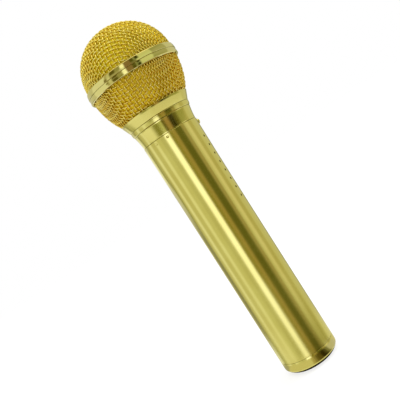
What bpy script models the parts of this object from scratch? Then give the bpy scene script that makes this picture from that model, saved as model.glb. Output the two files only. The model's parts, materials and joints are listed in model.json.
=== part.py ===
"""Microphone-shaped handheld shower head.

Units are metres in the scene; the constants below are millimetres and are scaled by MM.
+Z runs along the handle from the recessed hose inlet (z = 0) to the top of the wire ball.
The spray holes face -Y.
"""

import math

import bmesh
import bpy

MM = 0.001

# ---------------------------------------------------------------- driving sizes (mm)
TOTAL_LENGTH = 240.0
GAP = 0.3                     # clearance between neighbouring pieces

# handle
TUBE_R = 18.3                 # outside radius of the straight part
TUBE_TOP_R = 18.6             # slight flare at the neck
TUBE_FLARE_Z = 120.0          # where the flare starts
TUBE_BORE_R = 16.1
TUBE_WAIST_BORE_R = 15.4      # narrower bore between the two inner shoulders
NECK_JOINT_Z = 165.75
LOWER_SHOULDER_Z = 20.6
UPPER_SHOULDER_Z = 105.8

# spray field
SPRAY_ROWS = 8
SPRAY_COLUMNS = 5
SPRAY_PITCH = 6.0
SPRAY_LOW_Z = 111.3
SPRAY_HOLE_R = 0.6

# end cap and hose inlet
CAP_TOP_Z = 8.95
CAP_EDGE_Z = 4.7              # where the side turns under
RECESS_R = 12.5
RIM_CHAMFER = 0.25
THREAD_START_Z = 4.6
THREAD_END_Z = 13.9
G_HALF_MAJOR_R = 10.4775      # G1/2: 20.955 mm over the crests
G_HALF_MINOR_R = 9.3155
G_HALF_PITCH = 1.814          # 14 threads to the inch
FLANGE_Z = 16.0
FLANGE_TOP_Z = 20.3
SLEEVE_TOP_Z = 34.0

# water way
WATER_TUBE_R = 5.5
WATER_TUBE_BORE_R = 4.3
SOCKET_R = 5.9

# spool behind the spray field
SPOOL_LOW_Z = 106.2
SPOOL_HIGH_Z = 159.4
LAND_R = 15.8
WAIST_R = 9.6
CHAMBER_LOW_Z = 110.3
CHAMBER_HIGH_Z = 154.9

# neck
NECK_R = 18.4
NECK_TOP_R = 19.65
NECK_TOP_Z = 174.2
STEM_R = 11.9
STEM_SOCKET_R = 12.3

# lock button
BUTTON_Z = 163.3
BUTTON_R = 1.6
BUTTON_PROUD = 1.9
BUTTON_TRAVEL = 1.5

# trim ring and collar
RING_LOW_Z = 174.5
RING_HIGH_Z = 177.4
COLLAR_LOW_Z = 177.7
COLLAR_HIGH_Z = 183.55
COLLAR_LOW_R = 20.6
COLLAR_HIGH_R = 23.0

# ball
BALL_R = 29.65
DOME_SPRING_Z = 211.4         # height of the dome's widest circle
DOME_POWER = 2.05             # a little fuller than a sphere
GRILLE_T = 0.9
LINER_GAP = 0.6
LINER_T = 1.5
BAND_LOW_Z = 204.2
BAND_HIGH_Z = 211.2
BAND_SPLIT_Z = 207.6
BAND_R = 30.85
BAND_BORE_R = 29.95

# facets
OUTER_SEGMENTS = 48
TUBE_SEGMENTS = 56
INNER_SEGMENTS = 28


# ---------------------------------------------------------------- scene and materials
def clear_scene():
    for obj in list(bpy.data.objects):
        bpy.data.objects.remove(obj, do_unlink=True)
    for mesh in list(bpy.data.meshes):
        if mesh.users == 0:
            bpy.data.meshes.remove(mesh)


def material(name, color, metallic, roughness, coat=0.0):
    mat = bpy.data.materials.new(name)
    mat.use_nodes = True
    shader = mat.node_tree.nodes["Principled BSDF"]
    shader.inputs["Base Color"].default_value = (*color, 1.0)
    shader.inputs["Metallic"].default_value = metallic
    shader.inputs["Roughness"].default_value = roughness
    shader.inputs["Coat Weight"].default_value = coat
    mat.diffuse_color = (*color, 1.0)
    return mat


def finish(name, bm, mat, smooth=False):
    bmesh.ops.recalc_face_normals(bm, faces=bm.faces)
    mesh = bpy.data.meshes.new(name)
    bm.to_mesh(mesh)
    bm.free()
    mesh.materials.append(mat)
    if smooth:
        for face in mesh.polygons:
            face.use_smooth = True
    obj = bpy.data.objects.new(name, mesh)
    bpy.context.collection.objects.link(obj)
    return obj


# ---------------------------------------------------------------- shape helpers
def lathe_bmesh(profile, segments, centre=(0.0, 0.0, 0.0), turn=0.0):
    """Revolves a closed (radius, height) outline round a vertical axis."""
    bm = bmesh.new()
    rings = []
    for r, z in profile:
        if r < 1e-9:
            pole = bm.verts.new((centre[0] * MM, centre[1] * MM, (centre[2] + z) * MM))
            rings.append([pole] * segments)
            continue
        ring = []
        for k in range(segments):
            a = turn + 2 * math.pi * k / segments
            ring.append(
                bm.verts.new(
                    (
                        (centre[0] + r * math.cos(a)) * MM,
                        (centre[1] + r * math.sin(a)) * MM,
                        (centre[2] + z) * MM,
                    )
                )
            )
        rings.append(ring)
    for i in range(len(profile)):
        lower, upper = rings[i], rings[(i + 1) % len(profile)]
        for k in range(segments):
            n = (k + 1) % segments
            corners = []
            for v in (lower[k], lower[n], upper[n], upper[k]):
                if v not in corners:
                    corners.append(v)
            if len(corners) > 2:
                bm.faces.new(corners)
    return bm


def lathe(name, profile, segments, mat):
    return finish(name, lathe_bmesh(profile, segments), mat)


def arc(cx, cz, radius, start_deg, end_deg, steps):
    points = []
    for i in range(steps + 1):
        a = math.radians(start_deg + (end_deg - start_deg) * i / steps)
        points.append((cx + radius * math.cos(a), cz + radius * math.sin(a)))
    return points


def torus_profile(centre_r, centre_z, section_r, steps=6):
    return arc(centre_r, centre_z, section_r, 0, 360 - 360 / steps, steps - 1)


def offset_inward(points, distance):
    """Moves an open (radius, height) line to its left by a distance."""
    moved = []
    for i, (r, z) in enumerate(points):
        a = points[max(i - 1, 0)]
        b = points[min(i + 1, len(points) - 1)]
        dr, dz = b[0] - a[0], b[1] - a[1]
        size = math.hypot(dr, dz)
        moved.append((max(r - distance * dz / size, 0.0), z + distance * dr / size))
    return moved


def prism(bm, start, end, radius, sides, end_radius=None):
    """Adds a closed straight rod between two points."""
    from mathutils import Vector

    a, b = Vector(start), Vector(end)
    direction = (b - a).normalized()
    side = direction.cross(Vector((0, 0, 1)))
    if side.length < 1e-6:
        side = Vector((1, 0, 0))
    side.normalize()
    up = side.cross(direction)
    caps = []
    for point, r in ((a, radius), (b, radius if end_radius is None else end_radius)):
        caps.append(
            [
                bm.verts.new(
                    (
                        point
                        + side * (r * math.cos(2 * math.pi * k / sides))
                        + up * (r * math.sin(2 * math.pi * k / sides))
                    )
                    * MM
                )
                for k in range(sides)
            ]
        )
    for k in range(sides):
        n = (k + 1) % sides
        bm.faces.new((caps[0][k], caps[0][n], caps[1][n], caps[1][k]))
    bm.faces.new(caps[0][::-1])
    bm.faces.new(caps[1])


def cutter(name, bm):
    bmesh.ops.recalc_face_normals(bm, faces=bm.faces)
    mesh = bpy.data.meshes.new(name)
    bm.to_mesh(mesh)
    bm.free()
    obj = bpy.data.objects.new(name, mesh)
    bpy.context.collection.objects.link(obj)
    obj.hide_render = True
    obj.display_type = "WIRE"
    return obj


def cut(obj, tool):
    modifier = obj.modifiers.new("Cut " + tool.name, "BOOLEAN")
    modifier.operation = "DIFFERENCE"
    modifier.solver = "EXACT"
    modifier.object = tool
    return modifier


def dome_line(radius, spring_z, top_z, steps, power=DOME_POWER):
    """Superellipse from the widest circle up to the pole."""
    points = []
    for i in range(steps + 1):
        a = math.pi / 2 * i / steps
        r = radius * abs(math.cos(a)) ** (2 / power)
        z = spring_z + (top_z - spring_z) * abs(math.sin(a)) ** (2 / power)
        points.append((0.0 if i == steps else r, z))
    return points


# ---------------------------------------------------------------- pieces
clear_scene()

gold = material("gold_plate", (0.86, 0.70, 0.34), 1.0, 0.12)
wire_gold = material("gold_wire", (0.88, 0.72, 0.38), 1.0, 0.22)
liner_gold = material("liner_yellow", (0.72, 0.52, 0.05), 0.3, 0.5)
inner_plastic = material("inner_plastic", (0.78, 0.77, 0.73), 0.0, 0.5)
rubber = material("seal_rubber", (0.03, 0.03, 0.03), 0.0, 0.7)
steel = material("spring_steel", (0.60, 0.60, 0.60), 1.0, 0.3)

# --- end cap: rounded rim, recess for the hose nut, spigot inside the tube
cap_profile = (
    [(RECESS_R, RIM_CHAMFER), (RECESS_R + RIM_CHAMFER, 0.0)]
    + [
        (13.13, 0.0),
        (14.6, 0.5),
        (16.1, 1.4),
        (17.25, 2.4),
        (17.95, 3.35),
        (18.23, 4.1),
        (TUBE_R, CAP_EDGE_Z),
        (TUBE_R, CAP_TOP_Z - 0.15),
        (TUBE_R - 0.15, CAP_TOP_Z),
        (LAND_R, CAP_TOP_Z),
        (LAND_R, FLANGE_Z - GAP),
        (RECESS_R, FLANGE_Z - GAP),
    ]
)
lathe("end_cap", cap_profile, OUTER_SEGMENTS, gold)

# --- handle tube with the spray field and the button hole
tube_low = CAP_TOP_Z + 0.2
tube_profile = [
    (TUBE_BORE_R, tube_low),
    (TUBE_R - 0.15, tube_low),
    (TUBE_R, tube_low + 0.15),
    (TUBE_R, TUBE_FLARE_Z),
    (TUBE_TOP_R, NECK_JOINT_Z - 0.25),
    (TUBE_TOP_R - 0.15, NECK_JOINT_Z - 0.1),
    (TUBE_BORE_R, NECK_JOINT_Z - 0.1),
    (TUBE_BORE_R, UPPER_SHOULDER_Z),
    (TUBE_WAIST_BORE_R, UPPER_SHOULDER_Z),
    (TUBE_WAIST_BORE_R, LOWER_SHOULDER_Z),
    (TUBE_BORE_R, LOWER_SHOULDER_Z),
]
tube = lathe("handle_tube", tube_profile, TUBE_SEGMENTS, gold)
spray = bmesh.new()
for column in range(SPRAY_COLUMNS):
    step = SPRAY_PITCH / TUBE_R
    a = -math.pi / 2 + step * (column - (SPRAY_COLUMNS - 1) / 2)
    for row in range(SPRAY_ROWS):
        z = SPRAY_LOW_Z + SPRAY_PITCH * row
        prism(
            spray,
            (14.5 * math.cos(a), 14.5 * math.sin(a), z),
            (20.0 * math.cos(a), 20.0 * math.sin(a), z),
            SPRAY_HOLE_R,
            8,
        )
cut(tube, cutter("spray_cutter", spray))
button_hole = bmesh.new()
prism(button_hole, (0, -14.0, BUTTON_Z), (0, -21.0, BUTTON_Z), BUTTON_R + GAP, 20)
cut(tube, cutter("button_hole_cutter", button_hole))

# --- inlet connector: recessed G1/2 male thread, flange with seal groove, socket
thread = []
turns = int((THREAD_END_Z - THREAD_START_Z - 1.0) / G_HALF_PITCH)
z = THREAD_START_Z + 0.9
for _ in range(turns):
    thread += [
        (G_HALF_MINOR_R, z),
        (G_HALF_MAJOR_R, z + 0.42 * G_HALF_PITCH),
        (G_HALF_MAJOR_R, z + 0.58 * G_HALF_PITCH),
    ]
    z += G_HALF_PITCH
connector_profile = (
    [(7.5, THREAD_START_Z), (9.1, THREAD_START_Z)]
    + thread
    + [
        (G_HALF_MINOR_R, z),
        (G_HALF_MINOR_R, FLANGE_Z),
        (LAND_R, FLANGE_Z),
        (LAND_R, 17.2),
        (14.05, 17.2),
        (14.05, 19.2),
        (LAND_R, 19.2),
        (LAND_R, FLANGE_TOP_Z),
        (8.6, FLANGE_TOP_Z),
        (8.6, SLEEVE_TOP_Z),
        (SOCKET_R, SLEEVE_TOP_Z),
        (SOCKET_R, 32.0),
        (7.3, 32.0),
        (7.3, 30.4),
        (SOCKET_R, 30.4),
        (SOCKET_R, 22.0),
        (4.0, 22.0),
        (4.0, 17.6),
        (6.6, 17.6),
        (6.6, 12.3),
        (7.5, 12.3),
    ]
)
lathe("inlet_connector", connector_profile, INNER_SEGMENTS, inner_plastic)
lathe("inlet_oring", torus_profile(15.08, 18.2, 0.8), INNER_SEGMENTS, rubber)

# --- inlet strainer, flow-limiting disc and its seal
screen = lathe(
    "filter_screen",
    [
        (0.0, 11.1),
        (6.0, 11.1),
        (6.0, 9.7),
        (7.15, 9.7),
        (7.15, 12.0),
        (0.0, 12.0),
    ],
    24,
    steel,
)
mesh_holes = bmesh.new()
for ring, count in ((0.0, 1), (2.2, 6), (4.3, 12)):
    for k in range(count):
        a = 2 * math.pi * k / count
        x, y = ring * math.cos(a), ring * math.sin(a)
        prism(mesh_holes, (x, y, 10.6), (x, y, 12.5), 0.7, 6)
cut(screen, cutter("screen_cutter", mesh_holes))
lathe("restrictor_oring", torus_profile(5.5, 13.15, 0.65), 20, rubber)
lathe(
    "flow_restrictor",
    [
        (1.4, 14.1),
        (2.6, 14.1),
        (3.4, 14.9),
        (4.6, 14.9),
        (5.0, 14.1),
        (6.3, 14.1),
        (6.3, 17.3),
        (2.4, 17.3),
        (1.4, 16.3),
    ],
    20,
    inner_plastic,
)

# --- water tube and its two seals
lathe(
    "water_tube",
    [
        (WATER_TUBE_BORE_R, 22.4),
        (WATER_TUBE_R - 0.4, 22.4),
        (WATER_TUBE_R, 22.9),
        (WATER_TUBE_R, 117.1),
        (WATER_TUBE_R - 0.4, 117.6),
        (WATER_TUBE_BORE_R, 117.6),
    ],
    20,
    inner_plastic,
)
lathe("tube_oring_lower", torus_profile(6.45, 31.2, 0.6), 20, rubber)
lathe("tube_oring_upper", torus_profile(6.45, 108.9, 0.6), 20, rubber)

# --- spool that leads the water to the ring chamber behind the spray holes
spool_profile = [
    (SOCKET_R, SPOOL_LOW_Z),
    (LAND_R, SPOOL_LOW_Z),
    (LAND_R, 107.3),
    (14.05, 107.3),
    (14.05, 109.3),
    (LAND_R, 109.3),
    (LAND_R, CHAMBER_LOW_Z),
    (WAIST_R, CHAMBER_LOW_Z + 1.5),
    (WAIST_R, CHAMBER_HIGH_Z - 1.5),
    (LAND_R, CHAMBER_HIGH_Z),
    (LAND_R, 156.1),
    (14.05, 156.1),
    (14.05, 158.1),
    (LAND_R, 158.1),
    (LAND_R, SPOOL_HIGH_Z),
    (0.0, SPOOL_HIGH_Z),
    (0.0, 148.0),
    (WATER_TUBE_BORE_R, 148.0),
    (WATER_TUBE_BORE_R, 118.0),
    (SOCKET_R, 118.0),
    (SOCKET_R, 109.7),
    (7.3, 109.7),
    (7.3, 108.1),
    (SOCKET_R, 108.1),
]
spool = lathe("manifold_spool", spool_profile, INNER_SEGMENTS, inner_plastic)
ports_x = bmesh.new()
prism(ports_x, (-12, 0, 132), (12, 0, 132), 2.5, 12)
cut(spool, cutter("port_cutter_x", ports_x))
ports_y = bmesh.new()
prism(ports_y, (0, -12, 132), (0, 12, 132), 2.5, 12)
cut(spool, cutter("port_cutter_y", ports_y))
lathe("chamber_oring_lower", torus_profile(15.08, 108.3, 0.8), INNER_SEGMENTS, rubber)
lathe("chamber_oring_upper", torus_profile(15.08, 157.1, 0.8), INNER_SEGMENTS, rubber)

# --- neck adapter: plug in the tube, socket for the head's stem, bore for the button
neck_profile = [
    (5.5, 159.7),
    (LAND_R - 0.4, 159.7),
    (LAND_R, 160.1),
    (LAND_R, NECK_JOINT_Z + 0.1),
    (NECK_R - 0.15, NECK_JOINT_Z + 0.1),
    (NECK_R, NECK_JOINT_Z + 0.3),
    (18.67, 168.6),
    (18.95, 170.6),
    (19.31, 172.6),
    (NECK_TOP_R - 0.1, 174.0),
    (NECK_TOP_R - 0.3, NECK_TOP_Z),
    (STEM_SOCKET_R + 0.3, NECK_TOP_Z),
    (STEM_SOCKET_R, 173.9),
    (STEM_SOCKET_R, 167.6),
    (5.5, 167.6),
]
neck = lathe("neck_adapter", neck_profile, OUTER_SEGMENTS, gold)
button_bore = bmesh.new()
prism(button_bore, (0, -17.0, BUTTON_Z), (0, -8.2, BUTTON_Z), 2.7, 20)
cut(neck, cutter("button_bore_cutter", button_bore))

# --- lock button (pressed along +Y) and its spring
button_tip = -(TUBE_TOP_R + BUTTON_PROUD)


def turned_along_y(name, profile, segments, mat):
    """Revolves an outline of (radius, y) round the button's axis, with the origin on that axis."""
    bm = lathe_bmesh(profile, segments)
    for v in bm.verts:
        x, y, z = v.co
        v.co = (x, z, -y)
    obj = finish(name, bm, mat)
    obj.location.z = BUTTON_Z * MM
    return obj


turned_along_y(
    "lock_button",
    [
        (0.0, -13.4),
        (0.0, button_tip),
        (0.7, button_tip + 0.08),
        (1.2, button_tip + 0.3),
        (1.5, button_tip + 0.7),
        (BUTTON_R, button_tip + 1.2),
        (BUTTON_R, -15.7),
        (2.4, -15.7),
        (2.4, -14.9),
        (1.0, -14.9),
        (1.0, -13.4),
    ],
    20,
    gold,
)


def coil(name, radius, wire_r, start, end, turns, mat):
    """A round-wire compression spring along Y with closed ends."""
    steps_per_turn, sides = 14, 6
    steps = turns * steps_per_turn
    bm = bmesh.new()
    previous = None
    first = None
    for i in range(steps + 1):
        t = i / steps
        a = 2 * math.pi * i / steps_per_turn
        centre = (radius * math.cos(a), start + (end - start) * t, radius * math.sin(a))
        out = (math.cos(a), 0.0, math.sin(a))
        ring = []
        for k in range(sides):
            b = 2 * math.pi * k / sides
            c, s = wire_r * math.cos(b), wire_r * math.sin(b)
            ring.append(
                bm.verts.new(
                    (
                        (centre[0] + out[0] * c) * MM,
                        (centre[1] + s) * MM,
                        (centre[2] + out[2] * c) * MM,
                    )
                )
            )
        if previous:
            for k in range(sides):
                n = (k + 1) % sides
                bm.faces.new((previous[k], previous[n], ring[n], ring[k]))
        else:
            first = ring
        previous = ring
    bm.faces.new(first[::-1])
    bm.faces.new(previous)
    obj = finish(name, bm, mat)
    obj.location.z = BUTTON_Z * MM
    return obj


coil("button_spring", 1.75, 0.22, -14.4, -8.7, 5, steel)

# --- trim ring between neck and collar
lathe(
    "trim_ring",
    [
        (12.7, RING_LOW_Z),
        (19.6, RING_LOW_Z),
        (20.05, 174.85),
        (20.4, 175.6),
        (20.5, 176.4),
        (20.4, 177.1),
        (20.2, RING_HIGH_Z),
        (12.7, RING_HIGH_Z),
    ],
    OUTER_SEGMENTS,
    gold,
)

# --- head: base with the screw stem, collar, wire halves, liners and band halves
lathe(
    "head_base",
    [
        (9.5, 168.0),
        (STEM_R - 0.5, 168.0),
        (STEM_R, 168.5),
        (STEM_R, COLLAR_LOW_Z),
        (16.2, COLLAR_LOW_Z),
        (16.2, 179.55),
        (19.1, 179.55),
        (19.1, 182.2),
        (9.5, 182.2),
    ],
    INNER_SEGMENTS,
    inner_plastic,
)
lathe(
    "collar",
    [
        (16.55, COLLAR_LOW_Z),
        (COLLAR_LOW_R - 0.2, COLLAR_LOW_Z),
        (COLLAR_LOW_R, COLLAR_LOW_Z + 0.2),
        (21.8, 180.6),
        (COLLAR_HIGH_R, COLLAR_HIGH_Z - 0.2),
        (COLLAR_HIGH_R - 0.15, COLLAR_HIGH_Z),
        (22.0, COLLAR_HIGH_Z),
        (19.55, 179.25),
        (16.55, 179.25),
    ],
    OUTER_SEGMENTS,
    gold,
)

bowl_outer = [
    (23.1, COLLAR_HIGH_Z + 0.3),
    (24.45, 186.0),
    (25.7, 188.5),
    (26.9, 191.5),
    (27.9, 194.6),
    (28.65, 197.6),
    (29.2, 200.6),
    (29.5, 203.9),
    (29.5, 206.6),
]
bowl_inner = offset_inward(bowl_outer, GRILLE_T)[::-1]
bowl_profile = (
    [(19.9, 181.7), (20.5, 181.7), (21.3, COLLAR_HIGH_Z + 0.3)]
    + bowl_outer
    + bowl_inner
    + [(20.7, 184.6)]
)
lathe("grille_bowl", bowl_profile, OUTER_SEGMENTS, wire_gold)

dome_outer = [(29.5, 208.6)] + dome_line(BALL_R, DOME_SPRING_Z, TOTAL_LENGTH, 9)
dome_inner = (
    dome_line(BALL_R - GRILLE_T, DOME_SPRING_Z, TOTAL_LENGTH - GRILLE_T, 8)[::-1]
    + [(29.5 - GRILLE_T, 208.6)]
)
lathe("grille_dome", dome_outer + dome_inner, OUTER_SEGMENTS, wire_gold)

shell_gap = GRILLE_T + LINER_GAP
liner_low_outer = [(22.0, 185.6)] + [
    (r, z) for r, z in offset_inward(bowl_outer, shell_gap)[1:-1]
]
liner_low_outer = liner_low_outer + [(27.95, 207.45)]
liner_low_inner = [(r, z) for r, z in offset_inward(liner_low_outer, LINER_T)][::-1]
liner_low_profile = (
    [(0.0, 185.6)]
    + liner_low_outer
    + liner_low_inner[:-1]
    + [(20.6, 187.1), (0.0, 187.1)]
)
lathe("liner_lower", liner_low_profile, INNER_SEGMENTS, liner_gold)

liner_r = BALL_R - shell_gap
liner_top = TOTAL_LENGTH - shell_gap
liner_up_profile = (
    [(27.95, BAND_SPLIT_Z + 0.15)]
    + dome_line(liner_r, DOME_SPRING_Z, liner_top, 8)
    + dome_line(liner_r - LINER_T, DOME_SPRING_Z, liner_top - LINER_T, 8)[::-1]
    + [(26.45, BAND_SPLIT_Z + 0.15)]
)
lathe("liner_upper", liner_up_profile, INNER_SEGMENTS, liner_gold)

lathe(
    "band_lower",
    [
        (BAND_BORE_R, BAND_LOW_Z),
        (30.3, BAND_LOW_Z),
        (30.6, BAND_LOW_Z + 0.4),
        (30.8, BAND_LOW_Z + 1.4),
        (BAND_R, BAND_SPLIT_Z - 0.35),
        (BAND_R - 0.2, BAND_SPLIT_Z - 0.1),
        (28.3, BAND_SPLIT_Z - 0.1),
        (28.3, BAND_SPLIT_Z - 0.7),
        (BAND_BORE_R, BAND_SPLIT_Z - 0.7),
    ],
    OUTER_SEGMENTS,
    gold,
)
lathe(
    "band_upper",
    [
        (28.3, BAND_SPLIT_Z + 0.1),
        (BAND_R - 0.2, BAND_SPLIT_Z + 0.1),
        (BAND_R, BAND_SPLIT_Z + 0.35),
        (30.8, BAND_HIGH_Z - 1.4),
        (30.55, BAND_HIGH_Z - 0.4),
        (30.25, BAND_HIGH_Z),
        (BAND_BORE_R, BAND_HIGH_Z),
        (BAND_BORE_R, BAND_SPLIT_Z + 0.7),
        (28.3, BAND_SPLIT_Z + 0.7),
    ],
    OUTER_SEGMENTS,
    gold,
)

# ---------------------------------------------------------------- joint axes
def axis_empty(name, z, children, parent=None):
    """An empty on a joint's axis; the pieces that move on that joint hang from it."""
    empty = bpy.data.objects.new(name, None)
    empty.empty_display_size = 5 * MM
    bpy.context.collection.objects.link(empty)
    empty.location.z = z * MM
    if parent is not None:
        empty.parent = parent
        empty.location.z -= parent.location.z
    for child in children:
        obj = bpy.data.objects[child]
        obj.parent = empty
        obj.location.z -= z * MM
    return empty


lift = axis_empty("head_lift_axis", RING_LOW_Z, ["trim_ring"])
axis_empty(
    "head_turn_axis",
    RING_HIGH_Z,
    [
        "collar",
        "head_base",
        "grille_bowl",
        "grille_dome",
        "liner_lower",
        "liner_upper",
        "band_lower",
        "band_upper",
    ],
    parent=lift,
)
axis_empty("button_axis", BUTTON_Z, ["lock_button"])
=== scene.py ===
"""Looks of the gold microphone-shaped handheld shower head.

Builds the fine visible pieces (woven wire ball, drilled tube, turned trims, threaded
inlet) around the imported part, with procedural materials, a plain white studio and the
camera. All shape functions work in millimetres; meshes are scaled to metres.
"""

import json
import math

import bpy
import numpy as np
from mathutils import Matrix, Vector


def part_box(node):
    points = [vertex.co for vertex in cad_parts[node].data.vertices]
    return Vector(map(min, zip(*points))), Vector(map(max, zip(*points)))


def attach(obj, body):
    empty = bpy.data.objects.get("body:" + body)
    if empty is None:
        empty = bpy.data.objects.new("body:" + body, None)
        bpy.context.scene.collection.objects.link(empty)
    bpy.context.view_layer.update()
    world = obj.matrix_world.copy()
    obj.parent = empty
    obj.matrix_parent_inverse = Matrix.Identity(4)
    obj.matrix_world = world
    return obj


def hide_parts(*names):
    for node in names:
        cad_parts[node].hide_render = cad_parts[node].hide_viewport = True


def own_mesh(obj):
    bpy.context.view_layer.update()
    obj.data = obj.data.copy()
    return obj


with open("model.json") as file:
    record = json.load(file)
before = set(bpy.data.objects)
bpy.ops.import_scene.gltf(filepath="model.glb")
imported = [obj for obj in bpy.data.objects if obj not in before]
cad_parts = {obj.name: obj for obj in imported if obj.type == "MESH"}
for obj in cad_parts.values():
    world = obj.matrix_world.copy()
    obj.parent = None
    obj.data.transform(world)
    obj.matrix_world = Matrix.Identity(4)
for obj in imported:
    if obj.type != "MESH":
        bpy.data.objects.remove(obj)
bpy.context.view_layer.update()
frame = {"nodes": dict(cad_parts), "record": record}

MM = 0.001
VIEW_AZIMUTH = 167.0  # where the camera stands round the part, degrees from +X


# ------------------------------------------------------------------ node helpers
class Nodes:
    """Short hand for building a node tree."""

    def __init__(self, tree):
        self.tree = tree
        self.x = 0

    def new(self, kind, inputs=None, **settings):
        node = self.tree.nodes.new(kind)
        node.location = (self.x, 0)
        self.x += 40
        for key, value in settings.items():
            setattr(node, key, value)
        for key, value in (inputs or {}).items():
            if isinstance(value, bpy.types.NodeSocket):
                self.tree.links.new(value, node.inputs[key])
            else:
                node.inputs[key].default_value = value
        return node

    def math(self, operation, a, b=0.0, c=0.0, clamp=False):
        return self.new(
            "ShaderNodeMath", {0: a, 1: b, 2: c}, operation=operation, use_clamp=clamp
        ).outputs[0]

    def ramp(self, value, stops, interpolation="LINEAR"):
        node = self.new("ShaderNodeValToRGB", {"Fac": value})
        ramp = node.color_ramp
        ramp.interpolation = interpolation
        while len(ramp.elements) > 1:
            ramp.elements.remove(ramp.elements[-1])
        first = True
        for position, color in stops:
            if first:
                element = ramp.elements[0]
                element.position = position
                first = False
            else:
                element = ramp.elements.new(position)
            element.color = (*color, 1.0)
        return node.outputs["Color"]

    def map_range(self, value, a, b, c, d, smooth=False):
        return self.new(
            "ShaderNodeMapRange",
            {"Value": value, "From Min": a, "From Max": b, "To Min": c, "To Max": d},
            interpolation_type="SMOOTHSTEP" if smooth else "LINEAR",
        ).outputs["Result"]

    def mix(self, fac, a, b):
        node = self.new("ShaderNodeMix", data_type="RGBA")
        for socket, value in ((node.inputs[0], fac), (node.inputs[6], a), (node.inputs[7], b)):
            if isinstance(value, bpy.types.NodeSocket):
                self.tree.links.new(value, socket)
            elif isinstance(value, float):
                socket.default_value = value
            else:
                socket.default_value = (*value, 1.0)
        return node.outputs[2]


def shader_material(name, metallic, color, **sockets):
    mat = bpy.data.materials.new(name)
    mat.use_nodes = True
    tree = mat.node_tree
    shader = tree.nodes["Principled BSDF"]
    shader.inputs["Metallic"].default_value = metallic
    for key, value in sockets.items():
        shader.inputs[key].default_value = value
    mat.diffuse_color = (*color, 1.0)
    return mat, Nodes(tree), shader


# ------------------------------------------------------------------ materials
GOLD = (0.83, 0.78, 0.27)


def plating(name, color, lay, roughness=0.10, spread=0.05, bump=0.012, grain=1.0, worn=0.0):
    """Bright gold plating. lay is the direction of the fine polishing marks:
    "along" the part's axis, "round" it, or "none". worn is how much duller the plating
    is at the end that the hand holds."""
    mat, n, shader = shader_material(name, 1.0, color)
    place = n.new("ShaderNodeTexCoord").outputs["Object"]
    stretch = {"along": (900, 900, 14), "round": (60, 60, 2600), "none": (420, 420, 420)}[lay]
    scaled = n.new("ShaderNodeMapping", {"Vector": place, "Scale": stretch}).outputs[0]
    marks = n.new(
        "ShaderNodeTexNoise",
        {"Vector": scaled, "Scale": grain, "Detail": 4.0, "Roughness": 0.6},
    ).outputs["Fac"]
    broad = n.new(
        "ShaderNodeTexNoise",
        {"Vector": place, "Scale": 38.0, "Detail": 3.0, "Roughness": 0.55},
    ).outputs["Fac"]
    tint = n.map_range(broad, 0.3, 0.7, 0.0, 1.0, smooth=True)
    deep = tuple(c * k for c, k in zip(color, (0.955, 0.935, 0.86)))
    base = n.mix(tint, deep, color)
    # rubbed edges are a little paler
    edge = n.map_range(
        n.new("ShaderNodeNewGeometry").outputs["Pointiness"], 0.53, 0.60, 0.0, 0.5
    )
    pale = tuple(min(1.0, c * k) for c, k in zip(color, (1.06, 1.08, 1.35)))
    base = n.mix(edge, base, pale)
    n.tree.links.new(base, shader.inputs["Base Color"])
    rough = n.math(
        "ADD",
        n.map_range(marks, 0.25, 0.75, roughness - spread * 0.5, roughness + spread * 0.5),
        n.map_range(broad, 0.3, 0.75, -0.012, 0.02),
    )
    if worn:
        height = n.new("ShaderNodeSeparateXYZ", {0: place}).outputs[2]
        rough = n.math("ADD", rough, n.map_range(height, 0.125, 0.0, 0.0, worn))
    n.tree.links.new(rough, shader.inputs["Roughness"])
    relief = n.new(
        "ShaderNodeBump", {"Height": marks, "Strength": bump, "Distance": 0.0002}
    ).outputs["Normal"]
    n.tree.links.new(relief, shader.inputs["Normal"])
    return mat


tube_gold = plating("tube_gold", GOLD, "along", roughness=0.13, spread=0.05, worn=0.10)
turned_gold = plating("turned_gold", GOLD, "round", roughness=0.14, spread=0.05)
cap_gold = plating("cap_gold", GOLD, "round", roughness=0.13, spread=0.05)
band_gold = plating("band_gold", (0.84, 0.79, 0.36), "round", roughness=0.07, spread=0.03)
small_gold = plating("small_gold", GOLD, "none", roughness=0.12)
# near-black metal for the hole walls and the bore: painted shade in these recesses
bore_painted_shade = plating("bore_painted_shade", (0.10, 0.085, 0.03), "none", roughness=0.55, spread=0.1)


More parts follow.
